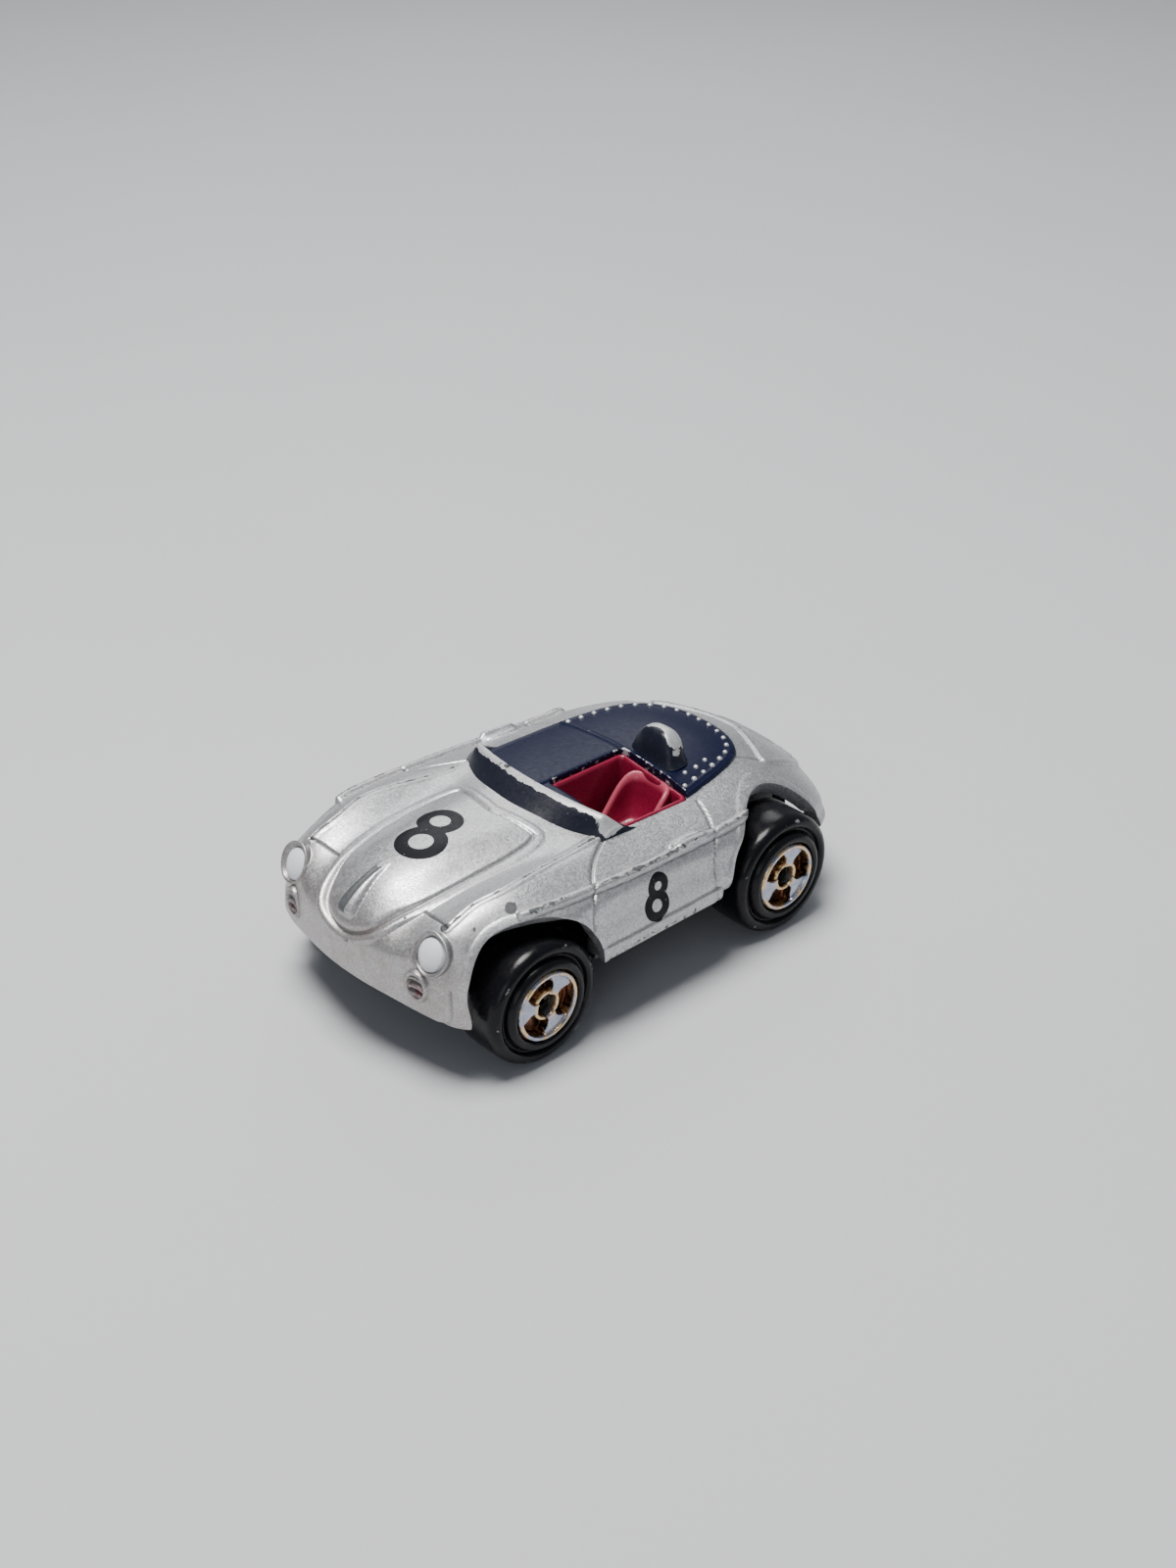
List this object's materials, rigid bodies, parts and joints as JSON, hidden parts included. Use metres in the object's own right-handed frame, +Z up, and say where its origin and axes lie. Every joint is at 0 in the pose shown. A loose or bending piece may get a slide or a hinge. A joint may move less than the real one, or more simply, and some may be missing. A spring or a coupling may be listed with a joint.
{
  "type": "pull back car",
  "caption": "Micro-size open toy roadster with a die-cast body, moulded interior, hard plastic wheels on free-turning axles and a wind-up motor geared to the rear axle",
  "frame": {"origin": "centre of the bounding box in plan, on the ground under the wheels", "axes": "+X towards the nose of the car, +Y to the car's left, +Z up"},
  "size_m": [0.032, 0.0184, 0.0116],
  "materials": {
    "silver_paint": "fine metallic silver paint, satin, with black painted cover and windscreen and chipped edges",
    "black_plastic": "glossy moulded black",
    "red_plastic": "glossy moulded red",
    "plated_insert": "worn bright plating over copper and brass tones",
    "steel": "drawn wire and strip",
    "white_plastic": "natural white moulding",
    "brass": "cut brass"
  },
  "bodies": {
    "car": {"body_shell": "silver_paint", "chassis_base": "black_plastic", "interior_insert": "red_plastic", "headlight_left": "white_plastic", "headlight_right": "white_plastic", "rivet_front": "steel", "rivet_rear": "steel", "motor_case_left": "white_plastic", "motor_case_right": "white_plastic", "compound_arbor": "steel", "spring_arbor": "steel"},
    "front_wheels": {"front_axle": "steel", "wheel_front_left": "black_plastic", "wheel_front_right": "black_plastic", "hub_insert_front_left": "plated_insert", "hub_insert_front_right": "plated_insert"},
    "rear_wheels": {"rear_axle": "steel", "axle_pinion": "brass", "wheel_rear_left": "black_plastic", "wheel_rear_right": "black_plastic", "hub_insert_rear_left": "plated_insert", "hub_insert_rear_right": "plated_insert"},
    "compound": {"compound_gear": "white_plastic"},
    "spring_drum": {"spring_gear": "white_plastic", "mainspring": "steel"}
  },
  "joints": [
    {"name": "front_wheels_spin", "type": "hinge", "parent": "car", "child": "front_wheels", "pos_m": [0.0094, 0, 0.00365], "axis": [0, 1, 0], "continuous": true},
    {"name": "rear_wheels_spin", "type": "hinge", "parent": "car", "child": "rear_wheels", "pos_m": [-0.0086, 0, 0.00365], "axis": [0, 1, 0], "continuous": true},
    {"name": "compound_spin", "type": "hinge", "parent": "car", "child": "compound", "pos_m": [-0.00777, 0, 0.00633], "axis": [0, 1, 0], "continuous": true},
    {"name": "spring_drum_spin", "type": "hinge", "parent": "car", "child": "spring_drum", "pos_m": [-0.01048, 0, 0.00561], "axis": [0, 1, 0], "continuous": true}
  ],
  "couplings": [
    {"joint": "compound_spin", "follows": "rear_wheels_spin", "ratio": -0.4},
    {"joint": "spring_drum_spin", "follows": "rear_wheels_spin", "ratio": 0.16}
  ]
}
